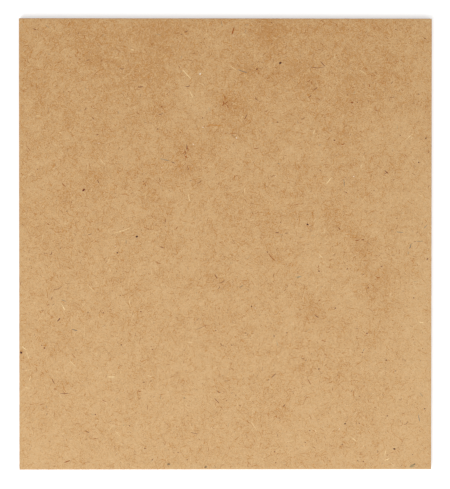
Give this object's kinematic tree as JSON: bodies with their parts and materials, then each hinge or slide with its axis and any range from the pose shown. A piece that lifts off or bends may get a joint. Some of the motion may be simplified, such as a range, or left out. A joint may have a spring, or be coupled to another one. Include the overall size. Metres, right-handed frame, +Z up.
{
  "type": "high density fibreboard sheet",
  "caption": "Flat rectangular cut piece of raw high density fibreboard, smooth pressed faces and plain sawn edges.",
  "frame": {"origin": "middle of the underside, where the sheet rests", "axes": "+X across the width, +Y along the length, +Z up through the thickness, out of the face that shows"},
  "size_m": [0.16, 0.175, 0.003],
  "materials": {
    "raw_fibreboard": "matte"
  },
  "bodies": {
    "root": {"fibreboard_sheet": "raw_fibreboard"}
  },
  "joints": []
}
